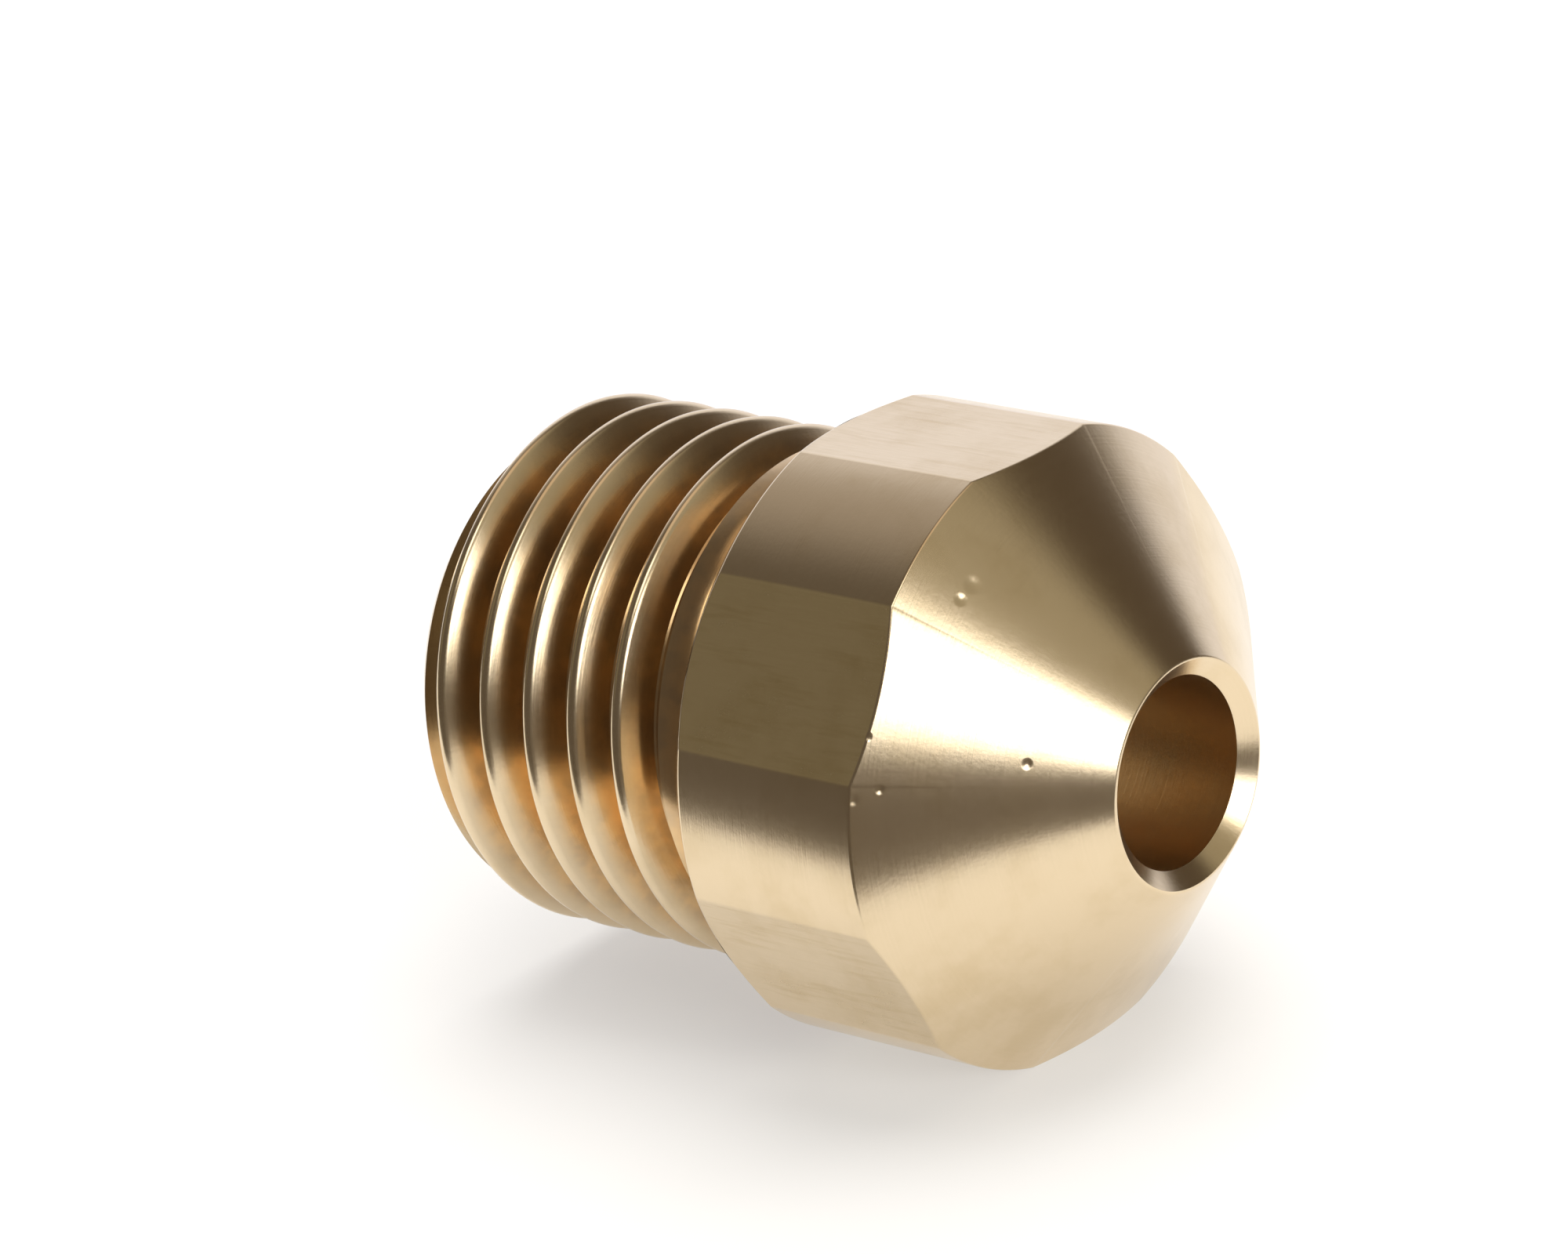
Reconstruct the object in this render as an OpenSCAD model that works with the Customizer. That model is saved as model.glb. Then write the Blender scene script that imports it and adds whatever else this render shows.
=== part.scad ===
// Oil burner nozzle of the pressure atomising kind, with its inner parts in place.
// The spray leaves along +X, +Z is up, and the origin is the centre of the inlet end face.

/* [Shank] */
// Outer diameter of the mounting thread
thread_d = 14; // [11.5:0.1:18]
// Distance from one thread crest to the next
thread_pitch = 1.5; // [1:0.05:1.8]
// Length from the inlet end face to the wrench head
shank_len = 10.4; // [8.4:0.1:16]
// Lead-in chamfer round the inlet end
lead_chamfer = 1.1; // [0.4:0.05:1.3]
// Distance from the wrench head to the nearest thread crest
runout_len = 1.4; // [1:0.05:2.5]
// Wall between the root of the thread and the inlet bore
shank_wall = 1.3; // [0.9:0.05:2]

/* [Wrench head] */
// How far the wrench flats stand out from the thread
flat_rise = 0.935; // [0.3:0.005:3]
// How far the turned corners stand out from the wrench flats
corner_rise = 0.31; // [0.1:0.01:0.9]
// Length of the wrench head
head_len = 5.9; // [4:0.1:12]
// Chamfer on the rear of the turned corners
corner_chamfer = 0.4; // [0.35:0.05:0.9]

/* [Nose] */
// Length of the cone in front of the wrench head
nose_len = 4.1; // [3:0.1:8]
// Diameter of the bore that the spray leaves through
outlet_d = 4.95; // [3:0.05:6]
// Width of the countersink round the outlet bore
lip_w = 0.5; // [0.2:0.05:0.8]
// Depth of the countersink round the outlet bore
lip_depth = 0.35; // [0.1:0.05:0.6]
// Depth of the outlet bore, from the rim to the orifice disc
outlet_depth = 4.5; // [3.5:0.1:6]

/* [Atomiser] */
// Thickness of the orifice disc
disc_t = 2; // [1.6:0.1:2.6]
// Diameter of the metering orifice
orifice_d = 0.5; // [0.2:0.05:0.8]
// Length of the distributor behind the orifice disc
distributor_len = 2.2; // [1.5:0.1:3]
// Width of each swirl slot
swirl_slot_w = 0.45; // [0.3:0.05:0.6]
// Number of swirl slots
swirl_slots = 4; // [2:1:6]
// Length of the lock screw
lock_len = 4.2; // [3.4:0.1:4.6]
// Diameter of the drilling up the lock screw
lock_drill_d = 2.6; // [1.5:0.1:2.8]

/* [Strainer] */
// How far the strainer ring is recessed from the inlet end face
ring_inset = 0.7; // [0.3:0.1:1]
// Length of the strainer ring
ring_len = 1.8; // [1.4:0.1:2]
// Wall of the strainer ring
ring_wall = 1.7; // [1:0.1:1.8]
// Wall of the wire cloth tube
screen_wall = 0.25; // [0.15:0.05:0.4]

/* [Clearances] */
// Gap all round a screwed-in piece
thread_gap = 0.05; // [0.02:0.01:0.1]
// Gap all round the orifice disc
disc_gap = 0.05; // [0.02:0.01:0.1]
// Gap all round the distributor, which the oil flows through
oil_gap = 0.35; // [0.2:0.05:0.5]
// Gap between the distributor's cone and its seat in the disc
cone_gap = 0.03; // [0.02:0.01:0.05]
// Gap round the wire cloth tube where it is held
screen_gap = 0.02; // [0.01:0.01:0.04]

/* [Hidden] */
$fn = 96;

// Thread form: 60 degree flanks with a flat crest and a flat root
thread_depth = 0.6134 * thread_pitch;
crest_w = thread_pitch / 8;
flank_w = thread_depth / tan(60);
root_d = thread_d - 2 * thread_depth;
last_crest_x = shank_len - runout_len;
crest_count = floor((last_crest_x - crest_w / 2) / thread_pitch) + 1;

// Outside of the body
hex_af = thread_d + 2 * flat_rise;
corner_d = hex_af + 2 * corner_rise;
head_end_x = shank_len + head_len;
body_len = head_end_x + nose_len;
rim_d = outlet_d + 2 * lip_w;

// Inside of the body
bore_step = 0.75;
bore_chamfer = 0.3;
inlet_bore_d = root_d - 2 * shank_wall;
disc_bore_d = inlet_bore_d - 2 * bore_step;
seat_x = body_len - outlet_depth;

// Orifice disc, with a conical swirl chamber open to the rear
disc_d = disc_bore_d - 2 * disc_gap;
disc_x = seat_x - disc_t;
chamber_floor_t = 0.5;
chamber_floor_d = 1.2;
chamber_depth = disc_t - chamber_floor_t;
chamber_d = chamber_floor_d + 2 * chamber_depth;

// Distributor, a plug with a cone that sits in the swirl chamber
distributor_d = disc_bore_d - 2 * oil_gap;
distributor_x = disc_x - distributor_len;
cone_tip_d = 1.6;
cone_len = (chamber_d - cone_tip_d) / 2;
swirl_slot_depth = 0.5;
swirl_slot_offset = 0.55;

// Lock screw, with a neck that leaves room for its cross drillings
neck_len = 1.5;
neck_wall = 0.85;
neck_d = lock_drill_d + 2 * neck_wall;
cross_drill_d = 0.9;
lock_d = inlet_bore_d - 2 * thread_gap;
lock_x = distributor_x - lock_len;
cross_drill_x = distributor_x - neck_len / 2;
lock_floor_t = 0.3;
driver_slot_w = 1.1;
driver_slot_depth = 1;
// The inlet bore ends where the neck is
bore_end_x = distributor_x - neck_len / 2 + cross_drill_d / 2;

// Strainer, a wire cloth tube between a ring and a cap
ring_d = inlet_bore_d - 2 * thread_gap;
screen_seat_depth = 0.9;
screen_seat_d = ring_d - 2 * ring_wall;
screen_d = screen_seat_d - 2 * screen_gap;
screen_x = ring_inset + ring_len - screen_seat_depth;
ring_hole_d = screen_d - 2 * screen_wall - 0.2;
spanner_slot_w = 1;
spanner_slot_depth = 0.7;
cap_clear = 0.5;
cap_t = 0.5;
cap_end_x = lock_x - cap_clear;
cap_x = cap_end_x - cap_t;
cap_flange_w = 0.25;
cap_spigot_len = 0.5;
cap_spigot_d = screen_d - 2 * screen_wall - 2 * screen_gap;

// A hair more than a cut needs, so that it breaks through
cut = 1;

// Solid of revolution about the X axis, from points that give [radius, distance along X]
module turned(points) {
    rotate([0, 90, 0])
        rotate_extrude()
            polygon(points);
}

// Straight cylinder along X between two places
module bar(d, from_x, to_x) {
    translate([from_x, 0, 0])
        rotate([0, 90, 0])
            cylinder(d = d, h = to_x - from_x);
}

// One thread ridge, as [radius, distance along X] from its rear root to its front root
function ridge(x) = [
    [root_d / 2, x - crest_w / 2 - flank_w],
    [thread_d / 2, x - crest_w / 2],
    [thread_d / 2, x + crest_w / 2],
    [root_d / 2, x + crest_w / 2 + flank_w]
];

// Shank with its ridges, not yet chamfered
module ridged_bar() {
    ridges = [for (k = [crest_count - 1:-1:0]) each ridge(last_crest_x - k * thread_pitch)];
    turned(concat([[0, -cut], [root_d / 2, -cut]], ridges, [[root_d / 2, shank_len + cut], [0, shank_len + cut]]));
}

// Outline of the shank, which cuts the lead-in chamfer
module shank_outline() {
    turned([
        [0, 0],
        [thread_d / 2 - lead_chamfer, 0],
        [thread_d / 2 + cut, lead_chamfer + cut],
        [thread_d / 2 + cut, shank_len + cut / 2],
        [0, shank_len + cut / 2]
    ]);
}

// Head and nose as turned, before the flats are cut
module head_outline() {
    turned([
        [0, shank_len],
        [corner_d / 2 - corner_chamfer, shank_len],
        [corner_d / 2, shank_len + corner_chamfer],
        [corner_d / 2, head_end_x],
        [rim_d / 2, body_len],
        [0, body_len]
    ]);
}

// Hexagonal bar with a flat at the bottom
module hexagon_bar() {
    translate([shank_len - cut, 0, 0])
        rotate([0, 90, 0])
            rotate([0, 0, 30])
                cylinder(d = hex_af / cos(30), h = head_len + nose_len + 2 * cut, $fn = 6);
}

// Everything that is bored out of the body
module passage() {
    bar(inlet_bore_d, -cut, bore_end_x);
    bar(disc_bore_d, bore_end_x - cut, seat_x);
    bar(outlet_d, seat_x - cut, body_len + cut);
    // Chamfer at the mouth of the inlet bore
    turned([
        [0, -cut],
        [inlet_bore_d / 2 + bore_chamfer + cut, -cut],
        [inlet_bore_d / 2, bore_chamfer],
        [0, bore_chamfer]
    ]);
    // Countersink at the mouth of the outlet bore
    turned([
        [0, body_len - lip_depth],
        [outlet_d / 2, body_len - lip_depth],
        [outlet_d / 2 + lip_w * (1 + cut / lip_depth), body_len + cut],
        [0, body_len + cut]
    ]);
}

module nozzle_body() {
    color("#b59a68")
        difference() {
            union() {
                intersection() {
                    ridged_bar();
                    shank_outline();
                }
                intersection() {
                    head_outline();
                    hexagon_bar();
                }
            }
            passage();
        }
}

module orifice_disc() {
    color("#a8a9ab")
        turned([
            [orifice_d / 2, disc_x + chamber_depth],
            [chamber_floor_d / 2, disc_x + chamber_depth],
            [chamber_d / 2, disc_x],
            [disc_d / 2, disc_x],
            [disc_d / 2, seat_x],
            [orifice_d / 2, seat_x]
        ]);
}

module distributor() {
    shoulder_x = disc_x;
    tip_x = disc_x + cone_len;
    color("#9c9da0")
        difference() {
            turned([
                [0, distributor_x],
                [distributor_d / 2, distributor_x],
                [distributor_d / 2, shoulder_x],
                [chamber_d / 2 - cone_gap, shoulder_x],
                [cone_tip_d / 2 - cone_gap, tip_x],
                [0, tip_x]
            ]);
            // Swirl slots, each cut to one side of the axis
            for (k = [0:swirl_slots - 1])
                rotate([360 * k / swirl_slots, 0, 0])
                    translate([shoulder_x - swirl_slot_depth, swirl_slot_offset - swirl_slot_w / 2, 0])
                        cube([cone_len + swirl_slot_depth + cut, swirl_slot_w, distributor_d]);
        }
}

module lock_screw() {
    color("#b08d57")
        difference() {
            union() {
                bar(lock_d, lock_x, distributor_x - neck_len);
                bar(neck_d, lock_x, distributor_x);
            }
            bar(lock_drill_d, lock_x - cut, distributor_x - lock_floor_t);
            // Cross drillings from the drilling out to the neck
            for (turn = [0, 90])
                rotate([turn, 0, 0])
                    translate([cross_drill_x, 0, -neck_d])
                        cylinder(d = cross_drill_d, h = 2 * neck_d);
            // Screwdriver slot across the rear face
            translate([lock_x - cut, -driver_slot_w / 2, -lock_d])
                cube([driver_slot_depth + cut, driver_slot_w, 2 * lock_d]);
        }
}

module strainer_ring() {
    color("#b89a5e")
        difference() {
            bar(ring_d, ring_inset, ring_inset + ring_len);
            bar(ring_hole_d, ring_inset - cut, ring_inset + ring_len + cut);
            bar(screen_seat_d, screen_x, ring_inset + ring_len + cut);
            // Slot for the spanner across the rear face
            translate([ring_inset - cut, -spanner_slot_w / 2, -ring_d])
                cube([spanner_slot_depth + cut, spanner_slot_w, 2 * ring_d]);
        }
}

module strainer_screen() {
    color("#a87b4f")
        difference() {
            bar(screen_d, screen_x, cap_x);
            bar(screen_d - 2 * screen_wall, screen_x - cut, cap_x + cut);
        }
}

module strainer_cap() {
    color("#b89a5e")
        union() {
            bar(screen_d + 2 * cap_flange_w, cap_x, cap_end_x);
            bar(cap_spigot_d, cap_x - cap_spigot_len, cap_end_x);
        }
}

nozzle_body();
orifice_disc();
distributor();
lock_screw();
strainer_ring();
strainer_screen();
strainer_cap();
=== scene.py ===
"""Oil burner nozzle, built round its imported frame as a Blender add-on that is run as a script."""

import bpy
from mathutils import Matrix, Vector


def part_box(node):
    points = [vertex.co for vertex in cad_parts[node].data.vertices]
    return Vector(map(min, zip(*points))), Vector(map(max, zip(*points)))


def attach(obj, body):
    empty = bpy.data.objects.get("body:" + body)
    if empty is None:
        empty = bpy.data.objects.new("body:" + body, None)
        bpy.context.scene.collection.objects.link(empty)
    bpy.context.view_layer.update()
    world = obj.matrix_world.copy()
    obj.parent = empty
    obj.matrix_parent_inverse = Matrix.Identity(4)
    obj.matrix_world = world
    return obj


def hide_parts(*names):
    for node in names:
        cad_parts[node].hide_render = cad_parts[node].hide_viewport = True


bl_info = {
    "name": "Oil Burner Nozzle",
    "version": (1, 0, 0),
    "blender": (4, 5, 0),
    "location": "3D View > Sidebar > Burner Nozzle",
    "description": "Builds the pieces of an oil burner nozzle round their packed frame",
    "category": "Add Mesh",
}

from math import atan2, cos, pi, radians, sin, sqrt, tau

import bpy
from mathutils import Matrix, Vector

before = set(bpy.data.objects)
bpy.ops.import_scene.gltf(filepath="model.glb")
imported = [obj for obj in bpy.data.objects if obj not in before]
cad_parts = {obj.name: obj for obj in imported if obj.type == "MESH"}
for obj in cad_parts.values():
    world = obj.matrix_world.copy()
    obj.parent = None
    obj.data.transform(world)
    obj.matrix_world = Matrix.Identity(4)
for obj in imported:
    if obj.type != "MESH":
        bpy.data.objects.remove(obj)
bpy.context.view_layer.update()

MM = 0.001
MERGE = 0.4e-6

BODY_LOW, BODY_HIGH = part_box("nozzle_body")
DISC_LOW, DISC_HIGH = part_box("orifice_disc")
PLUG_LOW, PLUG_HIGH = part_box("distributor")
LOCK_LOW, LOCK_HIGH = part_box("lock_screw")
RING_LOW, RING_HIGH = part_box("strainer_ring")
SCREEN_LOW, SCREEN_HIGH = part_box("strainer_screen")
CAP_LOW, CAP_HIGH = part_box("strainer_cap")


# ---------------------------------------------------------------- sizes and colours

def length(name, description, default):
    """A size in metres that the panel can change."""
    return bpy.props.FloatProperty(
        name=name, description=description, default=default, min=0.0, unit="LENGTH", precision=5)


def colour(name, description, default):
    """A linear colour that the panel can change."""
    return bpy.props.FloatVectorProperty(
        name=name, description=description, default=default, size=3, min=0.0, max=1.0, subtype="COLOR")


class NozzleSizes(bpy.types.PropertyGroup):
    """Sizes of the turned pieces."""

    head_x: length("Head starts", "Distance from the inlet face to the wrench head", 10.4 * MM)
    cone_x: length("Cone starts", "Distance from the inlet face to the cone", 16.3 * MM)
    corner_chamfer: length("Head chamfer", "Chamfer round the rear of the head", 0.4 * MM)
    edge_round: length("Edge rounding", "Rounding of the head's edges", 0.05 * MM)
    rim_radius: length("Rim radius", "Radius of the rim round the outlet", 2.975 * MM)
    lip_depth: length("Countersink depth", "Depth of the countersink round the outlet", 0.35 * MM)
    outlet_radius: length("Outlet radius", "Radius of the bore that the spray leaves by", 2.475 * MM)
    thread_radius: length("Thread radius", "Radius over the crests of the mounting thread", 7.0 * MM)
    thread_pitch: length("Thread pitch", "Distance from crest to crest", 1.5 * MM)
    thread_depth: length("Thread depth", "Depth of the mounting thread", 0.92 * MM)
    crest_x: length("Crest place", "Where the last full crest stands over the top of the shank", 8.72 * MM)
    lead_chamfer: length("Lead-in chamfer", "Chamfer round the inlet end", 1.1 * MM)
    inlet_radius: length("Inlet bore radius", "Radius of the inlet bore", 4.78 * MM)
    inlet_end_x: length("Inlet bore end", "Distance from the inlet face to the end of the bore", 11.4 * MM)
    disc_radius: length("Disc bore radius", "Radius of the bore that holds the disc", 4.03 * MM)
    fine_pitch: length("Inner thread pitch", "Pitch of the thread in the inlet bore", 0.6 * MM)
    fine_depth: length("Inner thread depth", "Depth of the thread in the inlet bore", 0.2 * MM)


class NozzleColours(bpy.types.PropertyGroup):
    """Colours of the metals."""

    brass: colour("Brass", "Clean turned brass", (0.80, 0.655, 0.45))
    brass_deep: colour("Deep brass", "Brass that has darkened a little", (0.62, 0.47, 0.26))
    # Tarnished brass that is also painted shade: its darker tone stands in for the shade down the thread
    # flanks and inside the bores.
    brass_tarnish_and_shade: colour("Tarnished brass", "Brass down in the threads and bores", (0.74, 0.48, 0.23))
    brass_brown: colour("Brown brass", "Brass that has gone brown in patches", (0.53, 0.37, 0.21))
    steel: colour("Steel", "Ground stainless steel", (0.58, 0.57, 0.55))
    steel_deep: colour("Dull steel", "Stainless steel in duller patches", (0.46, 0.45, 0.43))
    bronze: colour("Bronze", "Wire of the strainer", (0.62, 0.38, 0.22))


# ---------------------------------------------------------------- modelling steps

def fresh_start():
    """Leaves nothing selected, in object mode."""
    if bpy.context.mode != "OBJECT":
        bpy.ops.object.mode_set(mode="OBJECT")
    bpy.ops.object.select_all(action="DESELECT")


def pick(piece):
    """Makes a piece the only one selected, and active."""
    fresh_start()
    piece.select_set(True)
    bpy.context.view_layer.objects.active = piece


def draw_outline(name, points, closed=False):
    """Draws (x, radius) points as a chain of edges in the XZ plane, by extruding one vertex."""
    fresh_start()
    bpy.ops.mesh.primitive_plane_add(size=MM)
    piece = bpy.context.object
    piece.name = name
    piece.data.name = name
    bpy.ops.object.mode_set(mode="EDIT")
    bpy.ops.mesh.select_mode(type="VERT")
    bpy.ops.mesh.select_all(action="SELECT")
    bpy.ops.mesh.merge(type="CENTER")
    bpy.ops.transform.translate(value=(points[0][0], 0, points[0][1]))
    chain = list(points) + ([points[0]] if closed else [])
    for (x0, r0), (x1, r1) in zip(chain, chain[1:]):
        bpy.ops.mesh.extrude_region_move(TRANSFORM_OT_translate={"value": (x1 - x0, 0, r1 - r0)})
    return piece


def tidy_shell():
    """Merges doubles and turns every face outwards, in edit mode."""
    bpy.ops.mesh.select_all(action="SELECT")
    bpy.ops.mesh.remove_doubles(threshold=MERGE)
    bpy.ops.mesh.normals_make_consistent(inside=False)


def turn(name, points, steps=192, closed=False):
    """A solid turned round the X axis from its (x, radius) outline."""
    piece = draw_outline(name, points, closed)
    bpy.ops.mesh.select_all(action="SELECT")
    bpy.ops.mesh.spin(steps=steps, angle=tau, center=(0, 0, 0), axis=(1, 0, 0))
    tidy_shell()
    bpy.ops.object.mode_set(mode="OBJECT")
    return piece


def apply_modifier(piece, kind, **settings):
    """Adds a modifier with its settings, and applies it."""
    pick(piece)
    bpy.ops.object.modifier_add(type=kind)
    modifier = piece.modifiers[-1]
    for name, value in settings.items():
        setattr(modifier, name, value)
    bpy.ops.object.modifier_apply(modifier=modifier.name)


def cut_flat(place, outwards):
    """Cuts off what lies beyond a plane and closes the cut, in edit mode."""
    bpy.ops.mesh.select_all(action="SELECT")
    bpy.ops.mesh.bisect(plane_co=place, plane_no=outwards, use_fill=True, clear_outer=True, threshold=1e-8)


def remove(piece):
    """Deletes a piece that was only a tool."""
    mesh = piece.data
    bpy.data.objects.remove(piece)
    bpy.data.meshes.remove(mesh)


def combine(piece, tool, operation):
    """Joins a tool to a piece, cuts with it or keeps what is in both, and deletes the tool."""
    apply_modifier(piece, "BOOLEAN", object=tool, operation=operation, solver="MANIFOLD")
    remove(tool)


# One turn of thread from root to root: along the pitch, and up from the root
THREAD_FORM = [
    (-0.5, 0.0), (-0.435, 0.0), (-0.4, 0.035), (-0.115, 0.86), (-0.085, 0.935), (-0.045, 0.985),
    (0.0, 1.0),
    (0.045, 0.985), (0.085, 0.935), (0.115, 0.86), (0.4, 0.035), (0.435, 0.0), (0.5, 0.0),
]


def thread_rod(name, radius, depth, pitch, crest_x, low_x, high_x, steps):
    """A right-hand thread round the X axis, solid to the middle, cut off square at both ends."""
    turns_back = int((crest_x - low_x) / pitch) + 2
    turns = turns_back + int((high_x - crest_x) / pitch) + 2
    first_x = crest_x - turns_back * pitch
    points = [(first_x + along * pitch, radius - depth * (1 - up)) for along, up in THREAD_FORM]
    piece = draw_outline(name, points)
    bpy.ops.object.mode_set(mode="OBJECT")
    apply_modifier(piece, "SCREW", axis="X", angle=tau, screw_offset=pitch, iterations=turns, steps=steps,
                   render_steps=steps, use_merge_vertices=True, merge_threshold=MERGE)
    bpy.ops.object.mode_set(mode="EDIT")
    tidy_shell()
    cut_flat((low_x, 0, 0), (-1, 0, 0))
    cut_flat((high_x, 0, 0), (1, 0, 0))
    tidy_shell()
    bpy.ops.object.mode_set(mode="OBJECT")
    return piece


def round_edges(piece, width, segments=2, sharpness=radians(12)):
    """Rounds every edge sharper than an angle."""
    pick(piece)
    bpy.ops.object.mode_set(mode="EDIT")
    bpy.ops.mesh.select_mode(type="EDGE")
    bpy.ops.mesh.select_all(action="DESELECT")
    bpy.ops.mesh.edges_select_sharp(sharpness=sharpness)
    bpy.ops.mesh.bevel(offset=width, segments=segments, profile=0.5, affect="EDGES", clamp_overlap=False)
    bpy.ops.mesh.select_mode(type="VERT")
    bpy.ops.object.mode_set(mode="OBJECT")


def smooth(piece, angle=radians(32)):
    """Shades a piece smooth up to an angle, with its large faces kept flat."""
    pick(piece)
    bpy.ops.object.shade_smooth_by_angle(angle=angle)
    apply_modifier(piece, "WEIGHTED_NORMAL", keep_sharp=True, weight=80)


def threaded_plug(name, radius, sizes, rear, front):
    """A solid plug with the fine thread of the inlet bore, chamfered at both ends."""
    plug = thread_rod(name, radius, sizes.fine_depth, sizes.fine_pitch, (rear + front) / 2,
                      rear - 0.1 * MM, front + 0.1 * MM, 96)
    lead = sizes.fine_depth
    envelope = turn("envelope_tool", [
        (rear, 0.0),
        (rear, radius - lead),
        (rear + lead, radius + 0.01 * MM),
        (front - lead, radius + 0.01 * MM),
        (front, radius - lead),
        (front, 0.0),
    ], steps=96)
    combine(plug, envelope, "INTERSECT")
    return plug


def cut_slot(piece, rear, width, depth):
    """Cuts a driver slot across the rear face."""
    fresh_start()
    bpy.ops.mesh.primitive_cube_add(size=1.0, location=(rear + depth / 2 - 0.5 * MM, 0.0, 0.0),
                                    scale=(depth + MM, width, 12.0 * MM))
    combine(piece, bpy.context.object, "DIFFERENCE")


def finish_piece(piece, nodes, finishes):
    """Hands a finished piece over to the frame with its materials."""
    piece.data.materials.clear()
    for finish in finishes:
        piece.data.materials.append(finish)
    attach(piece, "root")
    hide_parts(*nodes)


# ---------------------------------------------------------------- shader maths

class Signal:
    """A node's output, on which arithmetic adds Math nodes."""

    def __init__(self, recipe, socket):
        self.recipe = recipe
        self.socket = socket

    def math(self, operation, *values):
        return self.recipe.node("ShaderNodeMath", {"operation": operation}, dict(enumerate(values)))

    def __add__(self, other):
        return self.math("ADD", self, other)

    __radd__ = __add__

    def __sub__(self, other):
        return self.math("SUBTRACT", self, other)

    def __rsub__(self, other):
        return self.math("SUBTRACT", other, self)

    def __mul__(self, other):
        return self.math("MULTIPLY", self, other)

    __rmul__ = __mul__

    def __truediv__(self, other):
        return self.math("DIVIDE", self, other)

    def __pow__(self, other):
        return self.math("POWER", self, other)


class Recipe:
    """A node tree under construction."""

    def __init__(self, tree):
        self.tree = tree

    def node(self, kind, settings=None, sockets=None, output=0):
        """Adds a node: its settings first, then the values or links of its sockets."""
        node = self.tree.nodes.new(kind)
        for name, value in (settings or {}).items():
            setattr(node, name, value)
        for key, value in (sockets or {}).items():
            self.plug(value, node.inputs[key])
        return Signal(self, node.outputs[output])

    def plug(self, value, socket):
        """Links a signal to a socket, or sets the socket's own value."""
        if isinstance(value, Signal):
            self.tree.links.new(value.socket, socket)
        elif socket.type == "RGBA":
            socket.default_value = (*value, 1.0)
        else:
            socket.default_value = value

    def mix(self, first, second, factor):
        """One colour over another."""
        return self.node("ShaderNodeMix", {"data_type": "RGBA"}, {0: factor, 6: first, 7: second}, 2)

    def ramp(self, value, low, high, bottom=0.0, top=1.0):
        """A soft step from bottom to top as a value goes from low to high."""
        return self.node("ShaderNodeMapRange", {"interpolation_type": "SMOOTHSTEP"},
                         {0: value, 1: low, 2: high, 3: bottom, 4: top})

    def noise(self, vector, scale, detail=2.0, roughness=0.5):
        """Noise from 0 to 1."""
        return self.node("ShaderNodeTexNoise", {}, {"Vector": vector, "Scale": scale, "Detail": detail,
                                                    "Roughness": roughness})

    def combine(self, x, y, z):
        """A vector from three signals."""
        return self.node("ShaderNodeCombineXYZ", {}, {0: x, 1: y, 2: z})


class Finish(Recipe):
    """A metal finish under construction, on the piece's own place."""

    def __init__(self, name, **constants):
        self.material = bpy.data.materials.new(name)
        self.material.use_nodes = True
        super().__init__(self.material.node_tree)
        self.shader = self.tree.nodes["Principled BSDF"]
        for socket, value in constants.items():
            self.set(socket.replace("_", " "), value)
        place = self.tree.nodes.new("ShaderNodeTexCoord").outputs["Object"]
        self.place = Signal(self, place)
        split = self.tree.nodes.new("ShaderNodeSeparateXYZ")
        self.tree.links.new(place, split.inputs[0])
        self.x, self.y, self.z = [Signal(self, socket) for socket in split.outputs]
        self.radius = (self.y * self.y + self.z * self.z) ** 0.5

    def set(self, socket, value):
        """Sets or links one of the shader's sockets."""
        self.plug(value, self.shader.inputs[socket])

    def bump(self, height, distance, strength=1.0):
        """Links the shader's normal to a height from 0 to 1."""
        self.set("Normal", self.node("ShaderNodeBump", {}, {
            "Height": height, "Distance": distance, "Strength": strength}))

    def near(self, place, size):
        """From 1 at a place to 0 at a distance."""
        apart = self.node("ShaderNodeVectorMath", {"operation": "DISTANCE"}, {0: self.place, 1: place}, 1)
        return self.ramp(apart, size, 0.0)


def ring_grain(finish, pitch):
    """Turning marks, which change along the axis and outwards but not round."""
    return finish.noise(finish.combine(finish.x / pitch, finish.radius / pitch, 0.0), 1.0, 3.0, 0.6)


def drawn_grain(finish, across, along):
    """Marks that run lengthwise."""
    return finish.noise(finish.combine(finish.x / along, finish.y / across, finish.z / across), 1.0, 3.0, 0.6)


def brass_wear(finish, grain, roughness):
    """Colour, roughness and bump that all the brass has in common, on a grain from 0 to 1."""
    patches = finish.noise(finish.place, 380.0, 4.0, 0.6)
    speckle = finish.noise(finish.place, 6500.0, 2.0, 0.6)
    stain = finish.ramp(patches, 0.42, 0.72)
    finish.set("Roughness", roughness + grain * 0.06 + patches * 0.06 + speckle * 0.05)
    height = grain * 0.5 + patches * 0.35 + speckle * 0.45
    return stain, height


def turned_brass(name, colours, nicks=()):
    """Turned brass, with fine rings round the axis, and small nicks as (place, size)."""
    finish = Finish(name, Metallic=1.0)
    rings = ring_grain(finish, 0.05 * MM)
    stain, height = brass_wear(finish, rings, 0.13)
    finish.set("Base Color", finish.mix(colours.brass, colours.brass_deep, stain * 0.35 + rings * 0.12))
    for place, size in nicks:
        height = height - finish.near(place, size) * 6.0
    finish.bump(height, 0.004 * MM, 0.7)
    return finish.material


def flat_brass(colours):
    """Drawn brass of the wrench flats, with a lengthwise grain."""
    finish = Finish("drawn_brass", Metallic=1.0)
    grain = drawn_grain(finish, 0.06 * MM, 1.8 * MM)
    stain, height = brass_wear(finish, grain, 0.17)
    streak = drawn_grain(finish, 0.3 * MM, 2.5 * MM)
    mottle = finish.ramp(streak, 0.5, 0.72)
    darker = stain * 0.4 + grain * 0.25 + mottle * 0.3
    finish.set("Base Color", finish.mix(colours.brass, colours.brass_deep, darker))
    finish.bump(height + grain * 0.5 + streak * 0.8, 0.005 * MM, 0.8)
    return finish.material


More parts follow.
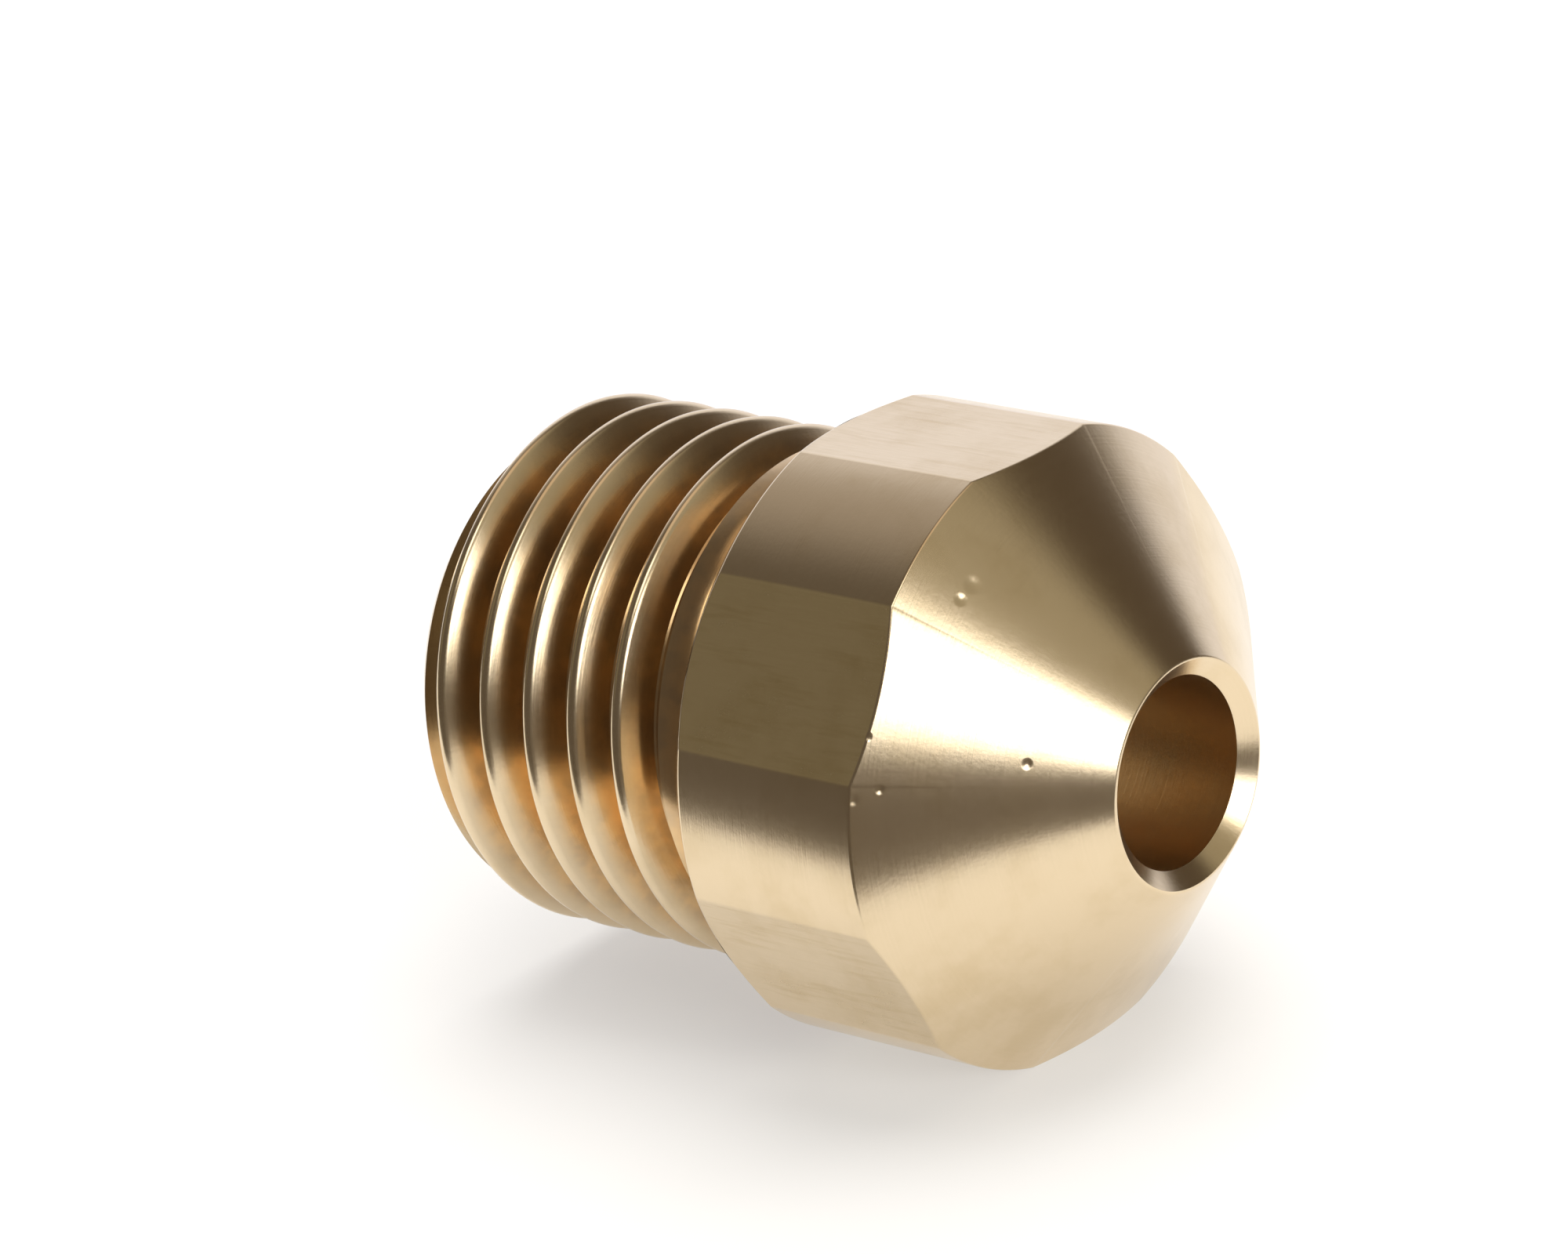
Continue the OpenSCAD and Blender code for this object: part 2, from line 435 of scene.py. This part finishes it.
def thread_brass(name, colours, crest_radius, depth):
    """Brass of a thread, tarnished to a warm brown down its flanks, where the darker colour is partly painted
    shade.
    """
    finish = Finish(name, Metallic=1.0)
    rings = ring_grain(finish, 0.06 * MM)
    stain, height = brass_wear(finish, rings, 0.11)
    # Painted shade: the colour darkens from the crest down the flanks towards the root, partly tarnished
    # brass and partly shade painted into the colour, kept off the lead-in chamfer.
    flank_tarnish_and_shade = finish.ramp(finish.radius, crest_radius - 0.05 * depth, crest_radius - 0.6 * depth)
    tarnish_and_shade_mask = flank_tarnish_and_shade * finish.ramp(finish.x, 0.8 * MM, 1.6 * MM)
    blotch = finish.ramp(finish.noise(finish.place, 900.0, 3.0, 0.6), 0.35, 0.7)
    tarnish_and_shade_tone = finish.mix(colours.brass_tarnish_and_shade, colours.brass_brown, blotch)
    tone = finish.mix(colours.brass, tarnish_and_shade_tone, tarnish_and_shade_mask)
    finish.set("Base Color", finish.mix(tone, colours.brass_deep, stain * 0.3))
    finish.bump(height, 0.003 * MM, 0.7)
    return finish.material


def bore_brass(colours):
    """Brass inside the bores, darker all over, partly tarnished and partly painted shade."""
    finish = Finish("bored_brass", Metallic=1.0)
    rings = ring_grain(finish, 0.07 * MM)
    stain, height = brass_wear(finish, rings, 0.24)
    # Painted shade: the bores take the darker thread-root tone all over, mixed with deep brass, partly
    # tarnished brass and partly painted shade.
    finish.set("Base Color", finish.mix(colours.brass_tarnish_and_shade, colours.brass_deep, 0.25 + stain * 0.5))
    finish.bump(height + rings * 0.5, 0.006 * MM, 0.7)
    return finish.material


def steel_finish(name, colours):
    """Ground stainless steel."""
    finish = Finish(name, Metallic=1.0)
    rings = ring_grain(finish, 0.04 * MM)
    patches = finish.noise(finish.place, 600.0, 3.0, 0.55)
    finish.set("Base Color", finish.mix(colours.steel, colours.steel_deep, patches * 0.6))
    finish.set("Roughness", 0.18 + rings * 0.12 + patches * 0.06)
    finish.bump(rings, 0.003 * MM, 0.5)
    return finish.material


def wire_finish(colours):
    """Drawn bronze wire."""
    finish = Finish("bronze_wire", Metallic=1.0)
    patches = finish.noise(finish.place, 2500.0, 2.0)
    finish.set("Base Color", finish.mix(colours.bronze, colours.brass_brown, patches * 0.6))
    finish.set("Roughness", 0.28 + patches * 0.15)
    finish.bump(patches, 0.002 * MM, 0.5)
    return finish.material


# ---------------------------------------------------------------- pieces

def hexagon_sides():
    """Outward normals of the six wrench flats, with one flat at the bottom."""
    return [(0.0, cos(radians(30 + 60 * side)), sin(radians(30 + 60 * side))) for side in range(6)]


class NOZZLE_OT_body(bpy.types.Operator):
    """Turn, thread and bore the nozzle body"""

    bl_idname = "nozzle.body"
    bl_label = "Nozzle Body"

    def execute(self, context):
        sizes = context.scene.nozzle_sizes
        colours = context.scene.nozzle_colours
        corner_radius = BODY_HIGH[1]
        flat_radius = -BODY_LOW[2]
        end_x = BODY_HIGH[0]
        rear_radius = corner_radius - sizes.corner_chamfer
        root_radius = sizes.thread_radius - sizes.thread_depth
        soft = sizes.edge_round
        body = turn("body_turned", [
            (sizes.head_x, 0.0),
            (sizes.head_x, rear_radius - soft),
            (sizes.head_x + 0.3 * soft, rear_radius - 0.3 * soft),
            (sizes.head_x + soft, rear_radius + soft),
            (sizes.head_x + sizes.corner_chamfer, corner_radius),
            (sizes.cone_x, corner_radius),
            (end_x, sizes.rim_radius),
            (end_x, 0.0),
        ], steps=288)
        pick(body)
        bpy.ops.object.mode_set(mode="EDIT")
        for side in hexagon_sides():
            cut_flat([flat_radius * part for part in side], side)
        bpy.ops.mesh.select_all(action="SELECT")
        bpy.ops.mesh.remove_doubles(threshold=0.01 * MM)
        bpy.ops.object.mode_set(mode="OBJECT")
        round_edges(body, sizes.edge_round, 3, radians(8))

        shank = thread_rod("shank_tool", sizes.thread_radius, sizes.thread_depth, sizes.thread_pitch,
                           sizes.crest_x, -0.2 * MM, sizes.head_x + 0.5 * MM, 192)
        envelope = turn("envelope_tool", [
            (0.0, 0.0),
            (0.0, sizes.thread_radius - sizes.lead_chamfer),
            (sizes.lead_chamfer + MM, sizes.thread_radius + MM),
            (sizes.head_x - 2.3 * MM, sizes.thread_radius + MM),
            (sizes.head_x - 2.2 * MM, sizes.thread_radius - 0.25 * MM),
            (sizes.head_x - 1.5 * MM, sizes.thread_radius - 0.4 * MM),
            (sizes.head_x - 1.2 * MM, sizes.thread_radius - 0.5 * MM),
            (sizes.head_x - 0.7 * MM, root_radius + 0.08 * MM),
            (sizes.head_x - 0.45 * MM, root_radius + 0.02 * MM),
            (sizes.head_x - 0.2 * MM, root_radius + 0.08 * MM),
            (sizes.head_x, root_radius + 0.3 * MM),
            (sizes.head_x + 0.3 * MM, root_radius + 0.3 * MM),
            (sizes.head_x + 0.3 * MM, 0.0),
        ])
        combine(shank, envelope, "INTERSECT")
        combine(body, shank, "UNION")

        bore = turn("bore_tool", [
            (-MM, 0.0),
            (-MM, sizes.inlet_radius + 0.3 * MM + MM),
            (0.3 * MM, sizes.inlet_radius),
            (sizes.inlet_end_x, sizes.inlet_radius),
            (sizes.inlet_end_x, sizes.disc_radius),
            (DISC_HIGH[0], sizes.disc_radius),
            (DISC_HIGH[0], sizes.outlet_radius),
            (end_x - sizes.lip_depth, sizes.outlet_radius),
            (end_x, sizes.rim_radius - 0.05 * MM),
            (end_x + 0.3 * MM, sizes.rim_radius + 0.3 * MM),
            (end_x + 0.3 * MM, 0.0),
        ], steps=192)
        combine(body, bore, "DIFFERENCE")
        tap_radius = sizes.inlet_radius + sizes.fine_depth
        tap = thread_rod("tap_tool", tap_radius, sizes.fine_depth, sizes.fine_pitch, 5.0 * MM,
                         -0.5 * MM, sizes.inlet_end_x - 0.4 * MM, 96)
        combine(body, tap, "DIFFERENCE")
        smooth(body, radians(28))
        finishes = [turned_brass("turned_brass", colours, NICKS), flat_brass(colours),
                    thread_brass("thread_brass", colours, sizes.thread_radius, sizes.thread_depth),
                    bore_brass(colours)]
        finish_piece(body, ["nozzle_body"], finishes)
        self.paint(body, sizes, flat_radius)
        return {"FINISHED"}

    def paint(self, body, sizes, flat_radius):
        """Gives the flats, the thread and the bores their own finishes."""
        for face in body.data.polygons:
            centre = face.center
            radius = sqrt(centre.y ** 2 + centre.z ** 2)
            outwards = (centre.y * face.normal.y + centre.z * face.normal.z) / radius
            lip = centre.x > BODY_HIGH[0] - sizes.lip_depth
            if radius < sizes.inlet_radius + sizes.fine_depth and not lip and outwards < 0.3:
                face.material_index = 3
            elif centre.x < sizes.head_x - 0.01 * MM:
                face.material_index = 2
            elif abs(face.normal.x) < 0.01 and outwards > 0.5 and face.area > 4 * MM * MM:
                face.material_index = 1


class NOZZLE_OT_atomiser(bpy.types.Operator):
    """Turn the orifice disc and the distributor behind it"""

    bl_idname = "nozzle.atomiser"
    bl_label = "Disc and Distributor"

    def execute(self, context):
        colours = context.scene.nozzle_colours
        radius = DISC_HIGH[1]
        rear, front = DISC_LOW[0], DISC_HIGH[0]
        soft = 0.06 * MM
        orifice_radius = 0.25 * MM
        orifice_lip = 0.05 * MM
        chamber_x = rear + 1.5 * MM
        chamber_end_radius = 0.6 * MM
        chamber_radius = 2.1 * MM
        disc = turn("disc_turned", [
            (front, orifice_radius + orifice_lip),
            (front - soft, orifice_radius),
            (chamber_x, orifice_radius),
            (chamber_x, chamber_end_radius),
            (rear, chamber_radius),
            (rear, radius - soft),
            (rear + soft, radius),
            (front - soft, radius),
            (front, radius - soft),
        ], steps=128, closed=True)
        smooth(disc)
        finish_piece(disc, ["orifice_disc"], [steel_finish("disc_steel", colours)])

        rear, tip = PLUG_LOW[0], PLUG_HIGH[0]
        radius = PLUG_HIGH[1]
        shoulder = DISC_LOW[0]
        cone_radius = 2.07 * MM
        tip_radius = 0.77 * MM
        plug = turn("distributor_turned", [
            (rear, 0.0),
            (rear, radius - soft),
            (rear + soft, radius),
            (shoulder - soft, radius),
            (shoulder, radius - soft),
            (shoulder, cone_radius),
            (tip, tip_radius),
            (tip, 0.0),
        ], steps=128)
        slot_size = (2.5 * MM, 0.45 * MM, 3.9 * MM)
        slot_middle = Vector((shoulder + 0.75 * MM, 0.55 * MM, 1.9 * MM))
        for quarter in range(4):
            lean = quarter * pi / 2
            fresh_start()
            bpy.ops.mesh.primitive_cube_add(size=1.0, location=Matrix.Rotation(lean, 3, "X") @ slot_middle,
                                            rotation=(lean, 0.0, 0.0), scale=slot_size)
            combine(plug, bpy.context.object, "DIFFERENCE")
        smooth(plug)
        finish_piece(plug, ["distributor"], [steel_finish("distributor_steel", colours)])
        return {"FINISHED"}


class NOZZLE_OT_lock_screw(bpy.types.Operator):
    """Turn, thread, drill and slot the lock screw"""

    bl_idname = "nozzle.lock_screw"
    bl_label = "Lock Screw"

    def execute(self, context):
        sizes = context.scene.nozzle_sizes
        colours = context.scene.nozzle_colours
        rear, front = LOCK_LOW[0], LOCK_HIGH[0]
        radius = LOCK_HIGH[1]
        neck_x = front - 1.5 * MM
        neck_radius = 2.15 * MM
        soft = 0.08 * MM
        oil_way_radius = 1.3 * MM
        drilling_x = front - 0.75 * MM
        drilling_radius = 0.45 * MM
        screw = threaded_plug("lock_screw_turned", radius, sizes, rear, neck_x)
        neck = turn("neck_tool", [
            (neck_x - 0.5 * MM, 0.0),
            (neck_x - 0.5 * MM, neck_radius),
            (front - soft, neck_radius),
            (front, neck_radius - soft),
            (front, 0.0),
        ], steps=96)
        combine(screw, neck, "UNION")
        oil_way = turn("oil_way_tool", [
            (rear - MM, 0.0),
            (rear - MM, oil_way_radius),
            (front - 0.6 * MM, oil_way_radius),
            (front - 0.3 * MM, 0.0),
        ], steps=64)
        combine(screw, oil_way, "DIFFERENCE")
        for lean in (0.0, pi / 2):
            fresh_start()
            bpy.ops.mesh.primitive_cylinder_add(
                vertices=32, radius=drilling_radius, depth=6.0 * MM,
                location=(drilling_x, 0.0, 0.0), rotation=(lean, 0.0, 0.0))
            combine(screw, context.object, "DIFFERENCE")
        cut_slot(screw, rear, 1.1 * MM, 1.0 * MM)
        smooth(screw)
        finish_piece(screw, ["lock_screw"], [
            thread_brass("screw_brass", colours, radius, 2 * sizes.fine_depth)])
        return {"FINISHED"}


class NOZZLE_OT_strainer(bpy.types.Operator):
    """Turn the strainer's ring and cap, and weave the wire cloth between them"""

    bl_idname = "nozzle.strainer"
    bl_label = "Strainer"

    def execute(self, context):
        sizes = context.scene.nozzle_sizes
        colours = context.scene.nozzle_colours
        self.turn_ring(sizes, colours)
        self.turn_cap(colours)
        self.weave_cloth(colours)
        return {"FINISHED"}

    def turn_ring(self, sizes, colours):
        """The ring that screws into the inlet and holds the cloth."""
        rear, front = RING_LOW[0], RING_HIGH[0]
        radius = RING_HIGH[1]
        hole_radius = 2.66 * MM
        hole_chamfer = 0.2 * MM
        seat_radius = 3.03 * MM
        soft = 0.08 * MM
        ring = threaded_plug("strainer_ring_turned", radius, sizes, rear, front)
        hole = turn("hole_tool", [
            (rear - MM, 0.0),
            (rear - MM, hole_radius + hole_chamfer + MM),
            (rear + hole_chamfer, hole_radius),
            (SCREEN_LOW[0], hole_radius),
            (SCREEN_LOW[0], seat_radius),
            (front - soft, seat_radius),
            (front + MM, seat_radius + soft + MM),
            (front + MM, 0.0),
        ], steps=128)
        combine(ring, hole, "DIFFERENCE")
        cut_slot(ring, rear, 1.0 * MM, 0.7 * MM)
        smooth(ring)
        finish_piece(ring, ["strainer_ring"], [
            thread_brass("ring_brass", colours, radius, 2 * sizes.fine_depth)])

    def turn_cap(self, colours):
        """The cap that closes the far end of the cloth."""
        rear, front = CAP_LOW[0], CAP_HIGH[0]
        radius = CAP_HIGH[1]
        flange_x = SCREEN_HIGH[0]
        spigot = 2.74 * MM
        soft = 0.06 * MM
        cap = turn("strainer_cap_turned", [
            (rear, 0.0),
            (rear, spigot - soft),
            (rear + soft, spigot),
            (flange_x, spigot),
            (flange_x, radius - soft),
            (flange_x + soft, radius),
            (front - 2 * soft, radius),
            (front - soft, radius - 0.3 * soft),
            (front, radius - 2 * soft),
            (front, 1.2 * MM),
            (front - 0.15 * MM, 0.9 * MM),
            (front - 0.15 * MM, 0.0),
        ], steps=96)
        smooth(cap)
        finish_piece(cap, ["strainer_cap"], [turned_brass("cap_brass", colours)])

    def weave_cloth(self, colours):
        """Wires along the tube and rings round it that pass over and under each other."""
        wires, rings = 48, 14
        wire = 0.055 * MM
        wave = 0.055 * MM
        middle = SCREEN_HIGH[1] - 0.125 * MM
        low_x, high_x = SCREEN_LOW[0], SCREEN_HIGH[0]
        gap = (high_x - low_x) / rings
        step = tau / wires
        parts = []
        for odd in (0, 1):
            points = [(low_x, middle)]
            points += [(low_x + (place + 0.5) * gap, middle + wave * (-1) ** (place + odd))
                       for place in range(rings)]
            points += [(high_x, middle)]
            strand = draw_outline("strand", points)
            self.thicken(strand, wire)
            bpy.ops.object.mode_set(mode="EDIT")
            bpy.ops.mesh.select_all(action="SELECT")
            bpy.ops.mesh.spin(steps=wires // 2 - 1, angle=tau - 2 * step, dupli=True,
                              center=(0, 0, 0), axis=(1, 0, 0))
            bpy.ops.object.mode_set(mode="OBJECT")
            strand.rotation_euler.x = odd * step
            bpy.ops.object.transform_apply(location=True, rotation=True, scale=True)
            parts.append(strand)
        for place in range(rings):
            fresh_start()
            bpy.ops.mesh.primitive_circle_add(vertices=wires, radius=middle, rotation=(0.0, pi / 2, 0.0))
            hoop = bpy.context.object
            bpy.ops.object.transform_apply(location=True, rotation=True, scale=True)
            for vertex in hoop.data.vertices:
                turn_count = round((atan2(vertex.co.z, vertex.co.y) - pi / 2) / step)
                radius = middle - wave * (-1) ** (place + turn_count)
                vertex.co.y *= radius / middle
                vertex.co.z *= radius / middle
                vertex.co.x = low_x + (place + 0.5) * gap
            self.thicken(hoop, wire)
            parts.append(hoop)
        fresh_start()
        for part in parts:
            part.select_set(True)
        bpy.context.view_layer.objects.active = parts[0]
        bpy.ops.object.join()
        cloth = parts[0]
        cloth.name = "strainer_cloth"
        cloth.data.name = "strainer_cloth"
        pick(cloth)
        bpy.ops.object.shade_smooth()
        finish_piece(cloth, ["strainer_screen"], [wire_finish(colours)])

    def thicken(self, piece, radius):
        """Makes a round wire of a chain of edges."""
        pick(piece)
        bpy.ops.object.convert(target="CURVE")
        piece.data.bevel_depth = radius
        piece.data.bevel_resolution = 1
        piece.data.use_fill_caps = True
        bpy.ops.object.convert(target="MESH")


class NOZZLE_OT_stage(bpy.types.Operator):
    """Lay the floor, hang the lights and stand the camera"""

    bl_idname = "nozzle.stage"
    bl_label = "Stage"

    def execute(self, context):
        scene = context.scene
        scene.view_settings.view_transform = "Standard"
        fresh_start()
        lean = radians(FLOOR_TURN)
        ahead = FLOOR_FRONT - FLOOR_LENGTH / 2
        bpy.ops.mesh.primitive_grid_add(
            x_subdivisions=8, y_subdivisions=8, size=1.0,
            location=(16.3 * MM + ahead * cos(lean), ahead * sin(lean), BODY_LOW[2]),
            rotation=(0.0, 0.0, lean))
        floor = context.object
        floor.name = "stage_floor"
        floor.scale = (FLOOR_LENGTH, FLOOR_WIDTH, 1.0)
        bpy.ops.object.transform_apply(location=True, rotation=True, scale=True)
        material = bpy.data.materials.new("stage_paper")
        material.use_nodes = True
        shader = material.node_tree.nodes["Principled BSDF"]
        shader.inputs["Base Color"].default_value = (0.42, 0.415, 0.405, 1.0)
        shader.inputs["Roughness"].default_value = 0.9
        shader.inputs["Emission Color"].default_value = (1.0, 0.99, 0.975, 1.0)
        shader.inputs["Emission Strength"].default_value = 0.46
        floor.data.materials.append(material)
        self.hang_lights()
        self.paint_room(scene)
        self.stand_camera(scene)
        return {"FINISHED"}

    def hang_lights(self):
        """A large soft light overhead and a strip on the right."""
        target = Vector((0.012, 0.0, 0.0))
        for name, azimuth, elevation, distance, wide, high, watts in LIGHTS:
            toward = Vector((cos(radians(elevation)) * cos(radians(azimuth)),
                             cos(radians(elevation)) * sin(radians(azimuth)), sin(radians(elevation))))
            fresh_start()
            bpy.ops.object.light_add(type="AREA")
            lamp = bpy.context.object
            lamp.name = name
            lamp.data.shape = "RECTANGLE"
            lamp.data.size = wide
            lamp.data.size_y = high
            lamp.data.energy = watts
            lamp.visible_glossy = False
            lamp.location = target + toward * distance
            lamp.rotation_euler = toward.to_track_quat("Z", "Y").to_euler()

    def paint_room(self, scene):
        """A dim room with bright and dark sides, and plain white behind for the camera."""
        world = bpy.data.worlds.new("studio")
        world.use_nodes = True
        scene.world = world
        room = Recipe(world.node_tree)
        backdrop = world.node_tree.nodes["Background"]
        toward = room.node("ShaderNodeTexCoord", {}, {}, 0)
        tone = ROOM_TONE
        for azimuth, elevation, inner, outer, patch in ROOM_PATCHES:
            aim = (cos(radians(elevation)) * cos(radians(azimuth)),
                   cos(radians(elevation)) * sin(radians(azimuth)), sin(radians(elevation)))
            along = room.node("ShaderNodeVectorMath", {"operation": "DOT_PRODUCT"}, {0: toward, 1: aim}, 1)
            tone = room.mix(tone, patch, room.ramp(along, cos(radians(outer)), cos(radians(inner))))
        seen = room.node("ShaderNodeLightPath", {}, {}, 0)
        room.plug(room.mix(tone, (1.0, 1.0, 1.0), seen), backdrop.inputs["Color"])

    def stand_camera(self, scene):
        """The camera a little above and to the front right of the nozzle, tilted to one side."""
        azimuth, elevation, roll = radians(42.2), radians(20.8), radians(-6.55)
        focus = Vector((16.3 * MM, 0.0, 0.0))
        distance = 0.1649
        scale = 8370.0
        aside = (1349.6 - 1000.0) / scale * distance
        below = -(954.5 - 800.0) / scale * distance
        back = Vector((sin(azimuth) * cos(elevation), -cos(azimuth) * cos(elevation), sin(elevation)))
        level_right = (-back).cross(Vector((0, 0, 1))).normalized()
        level_up = level_right.cross(-back)
        right = cos(roll) * level_right + sin(roll) * level_up
        up = -sin(roll) * level_right + cos(roll) * level_up
        fresh_start()
        bpy.ops.object.camera_add()
        camera = bpy.context.object
        camera.name = "camera"
        camera.data.sensor_width = 36.0
        camera.data.lens = 36.0 * scale / 2000.0
        camera.data.clip_start = 0.005
        place = focus - aside * right - below * up + distance * back
        turned = Matrix((right, up, back)).transposed().to_4x4()
        camera.matrix_world = Matrix.Translation(place) @ turned
        scene.camera = camera


# Small nicks in the brass, each as its place and size
NICKS = [
    ((17.25 * MM, -3.77 * MM, 5.93 * MM), 0.28 * MM),
    ((17.21 * MM, -4.22 * MM, 5.68 * MM), 0.20 * MM),
    ((18.99 * MM, -4.46 * MM, 1.75 * MM), 0.17 * MM),
    ((16.50 * MM, -7.35 * MM, 3.13 * MM), 0.14 * MM),
    ((16.40 * MM, -8.00 * MM, 1.67 * MM), 0.18 * MM),
    ((16.77 * MM, -7.43 * MM, 1.81 * MM), 0.15 * MM),
]
# name, azimuth from +X toward +Y, elevation, distance, width, height, power
LIGHTS = [
    ("light_overhead", 100.0, 78.0, 0.40, 0.40, 0.40, 2.2),
    ("light_right", -22.0, 20.0, 0.35, 0.22, 0.10, 0.5),
]
FLOOR_LENGTH = 0.22
FLOOR_WIDTH = 0.34
FLOOR_FRONT = 0.0168
FLOOR_TURN = -70.4
ROOM_TONE = (0.12, 0.10, 0.08)
# azimuth, elevation, inner and outer angle, colour
ROOM_PATCHES = [
    (226.0, 25.0, 10.0, 24.0, (0.20, 0.175, 0.12)),
    (10.0, 45.0, 15.0, 45.0, (0.40, 0.36, 0.27)),
    (146.0, 44.0, 5.0, 40.0, (0.42, 0.38, 0.35)),
    (125.0, -4.0, 36.0, 62.0, (1.02, 1.02, 1.12)),
    (58.0, 27.0, 8.0, 26.0, (0.09, 0.067, 0.045)),
    (-14.0, 17.0, 7.0, 18.0, (4.2, 4.2, 4.2)),
    (-30.0, -14.0, 13.0, 17.0, (0.15, 0.125, 0.10)),
    (-5.0, -3.0, 9.0, 14.0, (0.12, 0.10, 0.08)),
    (12.0, 75.0, 8.0, 26.0, (0.75, 0.60, 0.45)),
    (-45.0, 52.0, 8.0, 16.0, (2.5, 2.4, 2.2)),
]


class NOZZLE_PT_panel(bpy.types.Panel):
    """Lists the pieces in the order in which they are built"""

    bl_idname = "NOZZLE_PT_panel"
    bl_label = "Burner Nozzle"
    bl_space_type = "VIEW_3D"
    bl_region_type = "UI"
    bl_category = "Burner Nozzle"

    def draw(self, context):
        layout = self.layout
        for group in (context.scene.nozzle_sizes, context.scene.nozzle_colours):
            column = layout.column(align=True)
            for name in group.__annotations__:
                column.prop(group, name)
        for operator in OPERATORS:
            layout.operator(operator.bl_idname)


OPERATORS = (NOZZLE_OT_body, NOZZLE_OT_atomiser, NOZZLE_OT_lock_screw, NOZZLE_OT_strainer, NOZZLE_OT_stage)
CLASSES = (NozzleSizes, NozzleColours, *OPERATORS, NOZZLE_PT_panel)


def register():
    for item in CLASSES:
        bpy.utils.register_class(item)
    bpy.types.Scene.nozzle_sizes = bpy.props.PointerProperty(type=NozzleSizes)
    bpy.types.Scene.nozzle_colours = bpy.props.PointerProperty(type=NozzleColours)


def unregister():
    del bpy.types.Scene.nozzle_colours
    del bpy.types.Scene.nozzle_sizes
    for item in reversed(CLASSES):
        bpy.utils.unregister_class(item)


def main():
    register()
    bpy.ops.nozzle.body()
    bpy.ops.nozzle.atomiser()
    bpy.ops.nozzle.lock_screw()
    bpy.ops.nozzle.strainer()
    bpy.ops.nozzle.stage()


if __name__ == "__main__":
    main()
